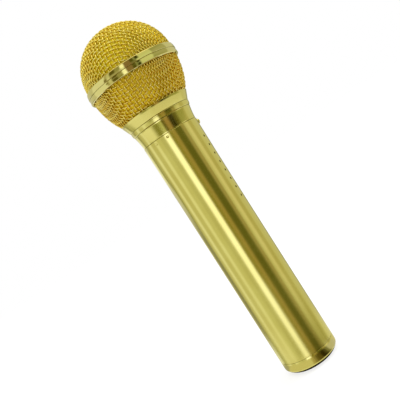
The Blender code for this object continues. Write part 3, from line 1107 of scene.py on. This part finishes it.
def bowl_outer():
    """From a pole below, which is cut away, out to the band. Runs on 1.4 mm inside the
    collar."""
    z = np.array([p[1] for p in BOWL])
    r = np.array([p[0] for p in BOWL])
    fit = np.polyfit(z, r, 4)
    heights = np.linspace(180.6, 206.6, 64)
    upper = [(float(np.polyval(fit, h)), float(h)) for h in heights]
    r0, z0 = upper[0]
    slope = math.atan2(upper[1][1] - z0, upper[1][0] - r0)
    # round bottom: an ellipse arc that ends tangent to the first wall point
    depth = 7.5
    lower = []
    for k in range(60):
        t = k / 60
        lower.append((r0 * math.sin(t * math.pi / 2) ** 0.95, z0 - depth * math.cos(t * math.pi / 2) ** 1.2))
    return Even(lower + upper, 420)


deepest = WIRE_R + WEAVE
dome_line = Meridian(dome_outer(), deepest)
bowl_line = Meridian(bowl_outer(), deepest)
wire_turn = math.radians(152.0)
dome = weave("grille_dome_wire", dome_line, lambda p: p[2] > 208.75, wire_turn, wire_gold)
bowl = weave(
    "grille_bowl_wire", bowl_line, lambda p: 181.3 < p[2] < 206.45, wire_turn, wire_gold_low
)
for obj, node in ((dome, "grille_dome"), (bowl, "grille_bowl")):
    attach(obj, "head")
    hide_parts(node)


# ------------------------------------------------------------------ liner behind the wire
def offset(line, distance):
    p = np.array(line, float)
    d = np.gradient(p, axis=0)
    d /= np.linalg.norm(d, axis=1)[:, None]
    out = np.stack([d[:, 1], -d[:, 0]], 1)
    side = np.sign((out[1:] * (p[1:] - np.array([0.0, p[:, 1].mean()]))).sum(1).mean())
    return p - out * side * distance


def liner(name, line, z_low, z_high, node):
    outer = offset(line, 1.5)
    inner = offset(line, 3.0)
    outer = [(max(r, 0.0), z) for r, z in outer if z_low <= z <= z_high]
    inner = [(max(r, 0.0), z) for r, z in inner if z_low <= z <= z_high]
    outer[0] = (0.0, outer[0][1]) if outer[0][0] < 0.3 else outer[0]
    inner[0] = (0.0, inner[0][1]) if inner[0][0] < 0.3 else inner[0]
    outline = outer[::6] + [outer[-1]] + inner[::-6] + [inner[0]]
    cleaned = []
    for p in outline:
        if not cleaned or math.dist(p, cleaned[-1]) > 0.02:
            cleaned.append(p)
    area = sum(
        cleaned[i][0] * cleaned[(i + 1) % len(cleaned)][1]
        - cleaned[(i + 1) % len(cleaned)][0] * cleaned[i][1]
        for i in range(len(cleaned))
    )
    if area < 0:
        cleaned.reverse()
    obj = lathe(name, cleaned, liner_yellow_low if "lower" in name else liner_yellow, 128)
    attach(obj, "head")
    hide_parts(node)
    return obj


liner_upper_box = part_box("liner_upper")
liner_lower_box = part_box("liner_lower")
liner("liner_upper_fine", dome_outer(), 1000 * liner_upper_box[0].z, 1000 * liner_upper_box[1].z, "liner_upper")
bowl_wall = [p for p in bowl_outer() if p[1] > 180.7 and p[0] > 15.0]
bowl_wall.append((29.5, 207.9))
liner(
    "liner_lower_fine",
    bowl_wall,
    181.2,
    1000 * liner_lower_box[1].z,
    "liner_lower",
)


# ------------------------------------------------------------------ hose inlet
def build_inlet():
    """Connector with a real helical thread, its flange and its tube socket."""
    minor, major, pitch = 9.3155, 10.4775, 1.814
    low, high = 4.6, 13.9
    segments = 96
    verts, faces = [], []
    rows = []
    steps = int((high - low) / (pitch / 10))

    def ring(fn):
        base = len(verts)
        for k in range(segments):
            a = 2 * math.pi * k / segments
            r, z = fn(a)
            verts.append((r * math.cos(a), r * math.sin(a), z))
        rows.append(list(range(base, base + segments)))

    def thread(a, z):
        phase = ((z - pitch * a / (2 * math.pi)) / pitch) % 1.0
        tooth = min(max(1.0 - abs(phase - 0.5) / 0.42, 0.0) * 1.25, 1.0)
        tooth = tooth * tooth * (3 - 2 * tooth) * 0.35 + tooth * 0.65
        fade = min(1.0, max(0.0, (z - low - 0.45) / 1.3), max(0.0, (high + 0.1 - z) / 1.2))
        return minor + (major - minor) * tooth * fade

    ring(lambda a: (7.5, low))
    ring(lambda a: (9.0, low))
    ring(lambda a: (9.3, low + 0.3))
    for k in range(1, steps + 1):
        z = low + 0.3 + (high - low - 0.3) * k / steps
        ring(lambda a, z=z: (thread(a, z), z))
    for r, z in (
        (9.3155, 16.0),
        (15.8, 16.0),
        (15.8, 17.2),
        (14.05, 17.2),
        (14.05, 19.2),
        (15.8, 19.2),
        (15.8, 20.3),
        (8.6, 20.3),
        (8.6, 34.0),
        (5.9, 34.0),
        (5.9, 32.0),
        (7.3, 32.0),
        (7.3, 30.4),
        (5.9, 30.4),
        (5.9, 22.0),
        (4.0, 22.0),
        (4.0, 17.6),
        (6.6, 17.6),
        (6.6, 12.3),
        (7.5, 12.3),
    ):
        ring(lambda a, r=r, z=z: (r, z))
    for i in range(len(rows)):
        a, b = rows[i], rows[(i + 1) % len(rows)]
        for k in range(segments):
            m = (k + 1) % segments
            faces.append((a[k], a[m], b[m], b[k]))
    obj = add_mesh("inlet_connector_fine", verts, faces, plastic, 35.0)
    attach(obj, "handle")
    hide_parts("inlet_connector")


build_inlet()


def build_head_base():
    """Base of the head with its screw stem. The thread climbs 2 mm a turn, as the head
    does when it is unscrewed."""
    low_z = 1000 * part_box("head_base")[0].z
    top_z = 1000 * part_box("head_base")[1].z
    minor, major, pitch = 11.0, 11.9, 2.0
    low, high = low_z + 0.3, 176.6
    segments = 120
    verts, faces, rows = [], [], []

    def ring(fn):
        base = len(verts)
        for k in range(segments):
            a = 2 * math.pi * k / segments
            r, z = fn(a)
            verts.append((r * math.cos(a), r * math.sin(a), z))
        rows.append(list(range(base, base + segments)))

    def thread(a, z):
        phase = ((z - pitch * a / (2 * math.pi)) / pitch) % 1.0
        tooth = min(max(1.0 - abs(phase - 0.5) / 0.4, 0.0) * 1.3, 1.0)
        fade = min(1.0, max(0.0, (z - low) / 1.0), max(0.0, (high - z) / 0.9))
        return minor + (major - minor) * tooth * fade

    ring(lambda a: (9.5, low_z))
    ring(lambda a: (minor - 0.3, low_z))
    steps = int((high - low) / (pitch / 14))
    for k in range(steps + 1):
        z = low + (high - low) * k / steps
        ring(lambda a, z=z: (thread(a, z), z))
    for r, z in (
        (minor, 177.5),
        (minor + 0.2, 177.7),
        (16.1, 177.7),
        (16.2, 177.8),
        (16.2, 179.55),
        (19.0, 179.55),
        (19.1, 179.65),
        (19.1, top_z - 0.15),
        (18.95, top_z),
        (9.5, top_z),
    ):
        ring(lambda a, r=r, z=z: (r, z))
    for i in range(len(rows)):
        a, b = rows[i], rows[(i + 1) % len(rows)]
        for k in range(segments):
            m = (k + 1) % segments
            faces.append((a[k], a[m], b[m], b[k]))
    obj = add_mesh("head_base_fine", verts, faces, plastic, 35.0)
    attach(obj, "head")
    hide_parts("head_base")


build_head_base()

# ------------------------------------------------------------------ carried-over pieces
record_slots = {
    entry["node"]: entry["material_slot"] for entry in frame["record"].get("subparts", [])
}
for name, obj in frame["nodes"].items():
    slot = record_slots.get(name)
    if slot is None:
        lower = name.lower()
        slot = (
            "seal_rubber"
            if "oring" in lower
            else "spring_steel"
            if "spring" in lower or "screen" in lower
            else "inner_plastic"
        )
    mat = SLOT_MATERIALS.get(slot, plastic)
    obj.data.materials.clear()
    obj.data.materials.append(mat)


# ------------------------------------------------------------------ studio
scene = bpy.context.scene
scene.view_settings.view_transform = "Standard"
scene.view_settings.look = "None"
scene.view_settings.exposure = 0.0
scene.view_settings.gamma = 1.0

# plain floor, white under soft light; reflections show the studio panels instead
floor_mesh = bpy.data.meshes.new("floor")
size = 4.0
floor_mesh.from_pydata(
    [(-size, -size, -5e-5), (size, -size, -5e-5), (size, size, -5e-5), (-size, size, -5e-5)],
    [],
    [(0, 1, 2, 3)],
)
floor = bpy.data.objects.new("floor", floor_mesh)
scene.collection.objects.link(floor)
floor_mat, fn, floor_shader = shader_material("floor_white", 0.0, (0.24, 0.24, 0.24))
floor_shader.inputs["Emission Color"].default_value = (1.0, 1.0, 1.0, 1.0)
floor_shader.inputs["Emission Strength"].default_value = 0.76
floor_noise = fn.new(
    "ShaderNodeTexNoise",
    {"Vector": fn.new("ShaderNodeTexCoord").outputs["Object"], "Scale": 6.0},
).outputs["Fac"]
fn.tree.links.new(
    fn.mix(floor_noise, (0.24, 0.24, 0.24), (0.245, 0.245, 0.245)),
    floor_shader.inputs["Base Color"],
)
floor_shader.inputs["Roughness"].default_value = 0.9
floor_shader.inputs["Specular IOR Level"].default_value = 0.0
floor_mesh.materials.append(floor_mat)
floor.visible_glossy = False

# panels round the part, by angle from the camera's side (positive to its right):
# (name, centre, half width, soft edge, light)
PANELS = [
    ("left edge flag", -134, 10, 9, (0.29, 0.28, 0.20)),
    ("left rim strip", -99, 3, 7, (0.88, 0.87, 0.84)),
    ("left fill strip", -66, 3, 6, (0.86, 0.85, 0.76)),
    ("left glow", -51, 5, 6, (0.66, 0.64, 0.44)),
    ("shade before the key", -33, 5, 7, (0.58, 0.56, 0.37)),
    ("key strip", -13, 5.5, 5, (1.38, 1.36, 1.55)),
    ("olive card", 4, 3, 4, (0.29, 0.25, 0.055)),
    ("brown card", 16, 3, 4, (0.38, 0.29, 0.11)),
    ("black flag", 37, 9, 5, (0.13, 0.125, 0.025)),
    ("warm card", 59, 4, 4, (0.38, 0.32, 0.16)),
    ("right strip", 79, 3, 6, (0.74, 0.68, 0.52)),
    ("right fill", 98, 6, 6, (0.52, 0.47, 0.26)),
    ("back flag", 168, 12, 10, (0.36, 0.35, 0.20)),
]
WASH = (0.62, 0.59, 0.40)
# at eye level and above, the flag by the left edge is narrow, with a pale card behind it
PANELS_HIGH = [
    ("left edge card", -140, 11, 9, (0.66, 0.65, 0.66)),
    ("left edge flag", -119, 2.5, 5, (0.37, 0.36, 0.21)),
    *PANELS[1:],
]
# what the cove of the neck looks down on
NECK_PANELS = [
    ("pale front", -86, 28, 18, (0.88, 0.85, 0.74)),
    ("olive shade", -30, 4, 12, (0.25, 0.235, 0.05)),
    ("olive light", -9, 3, 5, (0.50, 0.50, 0.24)),
    ("dark line", 0.5, 3, 5, (0.13, 0.10, 0.005)),
    ("brown card", 16, 4, 6, (0.38, 0.25, 0.10)),
    ("black flag", 37, 6, 6, (0.03, 0.025, 0.001)),
    ("shade", 55, 2, 5, (0.12, 0.105, 0.012)),
    ("olive side", 84, 12, 12, (0.34, 0.33, 0.12)),
    ("right side", 128, 10, 12, (0.52, 0.50, 0.25)),
]
# what the collar looks down on
COLLAR_PANELS = [
    ("left white", -146, 8, 6, (0.98, 0.98, 0.92)),
    ("thin flag", -122, 2, 5, (0.40, 0.39, 0.20)),
    ("left floor", -60, 35, 20, (0.84, 0.81, 0.68)),
]


def panel_stops(panels, wash):
    stops = []
    for _, centre, half, soft, light in sorted(panels, key=lambda p: p[1]):
        for angle, color in (
            (centre - half - soft, wash),
            (centre - half, light),
            (centre + half, light),
            (centre + half + soft, wash),
        ):
            stops.append([angle, color])
    # neighbours that meet blend straight into each other
    merged = []
    for k, (angle, color) in enumerate(stops):
        if color == wash:
            if merged and k % 4 == 0 and angle <= stops[k - 1][0] + 1.0:
                continue
            if k % 4 == 3 and k + 1 < len(stops) and angle >= stops[k + 1][0] - 1.0:
                continue
        merged.append([angle, color])
    return [((a + 180.0) / 360.0, c) for a, c in merged if -180 < a < 180]


world = bpy.data.worlds.new("studio")
scene.world = world
world.use_nodes = True
tree = world.node_tree
tree.nodes.clear()
w = Nodes(tree)
direction = w.new("ShaderNodeTexCoord").outputs["Generated"]
parts = w.new("ShaderNodeSeparateXYZ", {0: direction})
turn = math.radians(VIEW_AZIMUTH)
ahead = w.math(
    "ADD",
    w.math("MULTIPLY", parts.outputs[0], math.cos(turn)),
    w.math("MULTIPLY", parts.outputs[1], math.sin(turn)),
)
aside = w.math(
    "SUBTRACT",
    w.math("MULTIPLY", parts.outputs[1], math.cos(turn)),
    w.math("MULTIPLY", parts.outputs[0], math.sin(turn)),
)
bearing = w.math("ARCTAN2", aside, ahead)
around = w.math("MULTIPLY_ADD", bearing, 1 / (2 * math.pi), 0.5)
elevation = w.math("MULTIPLY", w.math("ARCSINE", parts.outputs[2]), 180 / math.pi)
# how far a surface leans over if it sends this direction to the front of the studio
leaning = w.math("ADD", ahead, 0.9963)
leaning = w.math(
    "ARCTAN2",
    w.math("SUBTRACT", 0.086, parts.outputs[2]),
    w.math(
        "SQRT",
        w.math("ADD", w.math("MULTIPLY", leaning, leaning), w.math("MULTIPLY", aside, aside)),
    ),
)
leaning = w.math("MULTIPLY", leaning, 180 / math.pi)


def colour_at(panels, wash, degrees):
    """The colour of the panels at one bearing."""
    stops = panel_stops(panels, wash)
    place = (degrees + 180.0) / 360.0
    if place <= stops[0][0]:
        return stops[0][1]
    for (a, one), (b, two) in zip(stops[:-1], stops[1:]):
        if place <= b:
            k = (place - a) / max(b - a, 1e-9)
            k = k * k * (3 - 2 * k)
            return tuple(x + (y - x) * k for x, y in zip(one, two))
    return stops[-1][1]


def build_base_card():
    """A card lying round the foot of the part, for its reflection in the end cap only."""
    panels = [
        ("left shade", -105, 12, 14, (0.44, 0.42, 0.34)),
        ("turning", -1.5, 0.5, 7, (0.46, 0.39, 0.20)),
        ("brown", 5, 1, 4, (0.31, 0.25, 0.11)),
        ("umber", 11, 1, 4, (0.16, 0.125, 0.035)),
        ("dark brown", 18.5, 3, 4, (0.115, 0.085, 0.02)),
        ("black", 31, 3, 6, (0.036, 0.026, 0.003)),
        ("dark olive", 41, 1, 6, (0.08, 0.07, 0.026)),
        ("olive", 49, 1, 6, (0.22, 0.21, 0.12)),
        ("pale right", 74, 15, 15, (0.60, 0.57, 0.60)),
    ]
    wash = (0.68, 0.63, 0.44)
    segments = 180
    verts, faces, lights = [], [], []
    shares = (0.0, 0.25, 0.5, 0.75, 1.0)
    for k in range(segments):
        degrees = -180.0 + 360.0 * k / segments
        light = colour_at(panels, wash, degrees)
        normal = math.radians(min(abs(degrees) / 1.57, 90.0))
        far = math.sqrt(18.3**2 + 24.0**2 + 2 * 18.3 * 24.0 * math.cos(normal))
        a = turn + math.radians(degrees)
        row = [(13.0, (0.02, 0.015, 0.0)), (16.9, (0.02, 0.015, 0.0)), (17.3, (0.85, 0.82, 0.66))]
        row += [(18.3, (0.85, 0.82, 0.66))]
        row += [(19.0 + (far - 19.0) * share, light) for share in shares]
        for r, colour in row:
            verts.append((r * math.cos(a) / 1000, r * math.sin(a) / 1000, -2e-5))
            lights.append(colour)
    across = len(verts) // segments
    for k in range(segments):
        m = (k + 1) % segments
        for j in range(across - 1):
            faces.append(
                (k * across + j, k * across + j + 1, m * across + j + 1, m * across + j)
            )
    mesh = bpy.data.meshes.new("base_card")
    mesh.from_pydata(verts, [], faces)
    layer = mesh.color_attributes.new("light", "FLOAT_COLOR", "POINT")
    for k, colour in enumerate(lights):
        layer.data[k].color = (*colour, 1.0)
    mat, n, shader = shader_material("base_card", 0.0, (0.0, 0.0, 0.0))
    shader.inputs["Base Color"].default_value = (0.0, 0.0, 0.0, 1.0)
    shader.inputs["Specular IOR Level"].default_value = 0.0
    shader.inputs["Emission Strength"].default_value = 1.0
    glow = n.new("ShaderNodeAttribute", attribute_name="light").outputs["Color"]
    n.tree.links.new(glow, shader.inputs["Emission Color"])
    mesh.materials.append(mat)
    card = bpy.data.objects.new("base_card", mesh)
    scene.collection.objects.link(card)
    card.visible_camera = False
    card.visible_diffuse = False
    card.visible_transmission = False
    card.visible_volume_scatter = False
    card.visible_shadow = False


def build_edge_card():
    """A pale card with a thin flag, beyond the left edge of the neck and the collar, for
    their reflections only. Its upper and lower edges are soft."""
    columns = [
        (-106, (0.60, 0.57, 0.38), 0.0),
        (-112, (0.55, 0.52, 0.34), 1.0),
        (-118, (0.36, 0.35, 0.20), 1.0),
        (-122, (0.36, 0.35, 0.20), 1.0),
        (-129, (0.80, 0.79, 0.72), 1.0),
        (-140, (0.95, 0.94, 0.88), 1.0),
        (-160, (0.95, 0.94, 0.88), 1.0),
        (-176, (0.80, 0.79, 0.70), 0.0),
    ]
    rows = [(132.0, 0.0), (144.0, 1.0), (168.0, 1.0), (174.0, 0.0)]
    fine = []
    for (d0, c0, k0), (d1, c1, k1) in zip(columns[:-1], columns[1:]):
        for step in range(4):
            t = step / 4
            e = t * t * (3 - 2 * t)
            fine.append(
                (
                    d0 + (d1 - d0) * t,
                    tuple(x + (y - x) * e for x, y in zip(c0, c1)),
                    k0 + (k1 - k0) * e,
                )
            )
    fine.append(columns[-1])
    verts, faces, lights = [], [], []
    for degrees, colour, keep in fine:
        a = turn + math.radians(degrees)
        for z, share in rows:
            verts.append((0.11 * math.cos(a), 0.11 * math.sin(a), z / 1000))
            lights.append((*colour, keep * share))
    for k in range(len(fine) - 1):
        for j in range(len(rows) - 1):
            v = k * len(rows) + j
            faces.append((v, v + 1, v + 1 + len(rows), v + len(rows)))
    mesh = bpy.data.meshes.new("edge_card")
    mesh.from_pydata(verts, [], faces)
    layer = mesh.color_attributes.new("light", "FLOAT_COLOR", "POINT")
    for k, colour in enumerate(lights):
        layer.data[k].color = colour
    mat = bpy.data.materials.new("edge_card")
    mat.use_nodes = True
    mat.node_tree.nodes.clear()
    n = Nodes(mat.node_tree)
    glow = n.new("ShaderNodeAttribute", attribute_name="light")
    shine = n.new("ShaderNodeEmission", {"Color": glow.outputs["Color"], "Strength": 1.0})
    clear = n.new("ShaderNodeBsdfTransparent")
    both = n.new(
        "ShaderNodeMixShader",
        {0: glow.outputs["Alpha"], 1: clear.outputs[0], 2: shine.outputs[0]},
    )
    n.new("ShaderNodeOutputMaterial", {"Surface": both.outputs[0]})
    mesh.materials.append(mat)
    card = bpy.data.objects.new("edge_card", mesh)
    scene.collection.objects.link(card)
    card.visible_camera = False
    card.visible_diffuse = False
    card.visible_transmission = False
    card.visible_volume_scatter = False
    card.visible_shadow = False


def circle_of_light(panels, wash):
    """The panels as one colour round the part."""
    stops = panel_stops(panels, wash)
    low = [s for s in stops if s[0] <= 0.5]
    top = [s for s in stops if s[0] > 0.5]
    low_side = w.ramp(around, low + top[:1], "EASE")
    if not top:
        return low_side
    return w.mix(
        w.math("GREATER_THAN", around, 0.5), low_side, w.ramp(around, low[-1:] + top, "EASE")
    )


# above the level of the ball's band: window panes with dark frames between them
UPPER = [
    ("left window", -88, 22, 4, (0.80, 0.80, 0.60)),
    ("left frame", -60, 1, 3, (0.45, 0.41, 0.20)),
    ("light bar", -51.5, 2.5, 2, (0.62, 0.60, 0.36)),
    ("dark frame", -39.5, 5.5, 2, (0.12, 0.10, 0.015)),
    ("olive pane", -23.5, 5, 3, (0.33, 0.31, 0.12)),
    ("bright gap", -10.5, 3, 2, (1.20, 1.20, 1.00)),
    ("brown frame", 3, 6.5, 2, (0.27, 0.18, 0.07)),
    ("dark frame right", 16, 3, 2, (0.10, 0.09, 0.01)),
    ("olive slit", 22.5, 1, 2, (0.28, 0.29, 0.12)),
    ("black frame", 29, 2.5, 2, (0.05, 0.05, 0.0)),
    ("right window", 50.5, 15, 4, (0.66, 0.67, 0.36)),
    ("olive panel", 92, 22, 2, (0.36, 0.35, 0.15)),
]
# the strip of room just above eye level, lighter than the windows' frames
STRIP = [
    ("left window", -88, 22, 6, (0.80, 0.78, 0.60)),
    ("left frame", -62, 3, 5, (0.22, 0.18, 0.06)),
    ("light bar", -51.5, 2.5, 3, (0.72, 0.70, 0.46)),
    ("grey pane", -34, 12, 4, (0.42, 0.39, 0.21)),
    ("bright gap", -10, 2, 3, (0.90, 0.92, 0.70)),
    ("brown frame", 3, 6.5, 3, (0.27, 0.17, 0.08)),
    ("grey frame", 19, 4, 3, (0.20, 0.19, 0.07)),
    ("pale wedge", 47, 18, 6, (0.68, 0.72, 0.42)),
    ("olive panel", 92, 22, 2, (0.43, 0.41, 0.22)),
]
build_base_card()
build_edge_card()
main = w.mix(
    w.map_range(elevation, -6.5, -2.0, 0.0, 1.0, smooth=True),
    circle_of_light(PANELS, WASH),
    circle_of_light(PANELS_HIGH, WASH),
)
cove = circle_of_light(NECK_PANELS, (0.60, 0.58, 0.42))
skirt = circle_of_light(COLLAR_PANELS, (0.78, 0.75, 0.60))
panes = circle_of_light(UPPER, (0.62, 0.60, 0.42))
strip = circle_of_light(STRIP, (0.62, 0.60, 0.42))
upper = w.mix(w.map_range(elevation, 20.0, 25.0, 0.0, 1.0, smooth=True), strip, panes)
mid = w.mix(w.map_range(elevation, 11.5, 14.5, 0.0, 1.0, smooth=True), main, upper)
# below the tube's range: what the neck and the collar see, then the dark underside;
# overhead: a large soft box
below = w.map_range(elevation, -19.0, -17.0, 1.0, 0.0, smooth=True)
over_neck = w.math("MULTIPLY", below, w.map_range(leaning, 14.2, 15.2, 0.0, 1.0, smooth=True))
over_collar = w.math("MULTIPLY", below, w.map_range(leaning, 20.2, 21.6, 0.0, 1.0, smooth=True))
down = w.mix(over_neck, mid, cove)
down = w.mix(over_collar, down, skirt)
warm = w.mix(w.map_range(elevation, -54.0, -46.0, 0.0, 1.0, smooth=True), (0.34, 0.23, 0.07), down)
low = w.mix(w.map_range(elevation, -78.0, -70.0, 0.0, 1.0, smooth=True), (0.03, 0.03, 0.01), warm)
beams = circle_of_light([("right light", 95, 45, 25, (1.18, 1.03, 0.62))], (0.40, 0.30, 0.10))
rafters = w.mix(w.map_range(elevation, 37.0, 42.0, 0.0, 1.0, smooth=True), low, beams)
high = w.mix(
    w.map_range(elevation, 50.0, 60.0, 0.0, 1.0, smooth=True), rafters, (1.36, 1.28, 1.02)
)
path = w.new("ShaderNodeLightPath")
glossy_light = w.new("ShaderNodeBackground", {"Color": high, "Strength": 1.0})
white_light = w.new("ShaderNodeBackground", {"Color": (1, 1, 1, 1), "Strength": 1.12})
camera_light = w.new("ShaderNodeBackground", {"Color": (1, 1, 1, 1), "Strength": 1.0})
diffuse_or = w.new(
    "ShaderNodeMixShader",
    {0: path.outputs["Is Diffuse Ray"], 1: glossy_light.outputs[0], 2: white_light.outputs[0]},
)
camera_or = w.new(
    "ShaderNodeMixShader",
    {0: path.outputs["Is Camera Ray"], 1: diffuse_or.outputs[0], 2: camera_light.outputs[0]},
)
w.new("ShaderNodeOutputWorld", {"Surface": camera_or.outputs[0]})
world.cycles.sampling_method = "NONE"


def softbox(name, location, target, size_x, size_y, power, glossy=False):
    light = bpy.data.lights.new(name, "AREA")
    light.shape = "RECTANGLE"
    light.size, light.size_y = size_x, size_y
    light.energy = power
    obj = bpy.data.objects.new(name, light)
    scene.collection.objects.link(obj)
    obj.location = location
    obj.rotation_mode = "QUATERNION"
    obj.rotation_quaternion = (Vector(target) - Vector(location)).to_track_quat("-Z", "Y")
    obj.visible_camera = False
    obj.visible_glossy = glossy
    return obj


softbox("overhead_box", (0.05, -0.1, 0.95), (0, 0, 0.1), 0.9, 0.9, 2.4)
side = turn + math.radians(95.0)
softbox(
    "side_box",
    (0.7 * math.cos(side), 0.7 * math.sin(side), 0.62),
    (0, 0, 0.2),
    0.4,
    0.4,
    3.6,
)

# ------------------------------------------------------------------ camera
turned_by = Matrix.Rotation(turn, 4, "Z")
right_row = Vector((0.0099162, 0.8429545, -0.5378935))
down_row = Vector((0.0474856, -0.5377100, -0.8417916))
forward_row = Vector((-0.9988227, -0.0171948, -0.0453603))
look = Matrix((right_row, -down_row, -forward_row)).transposed().to_4x4()
camera_data = bpy.data.cameras.new("camera")
camera_data.sensor_width = 36.0
camera_data.lens = 596.2548 / 400.0 * 36.0
camera_data.clip_start = 0.01
camera_data.clip_end = 20.0
camera = bpy.data.objects.new("camera", camera_data)
scene.collection.objects.link(camera)
camera.matrix_world = turned_by @ Matrix.Translation((0.3668177, 0.0, 0.1383141)) @ look
scene.camera = camera
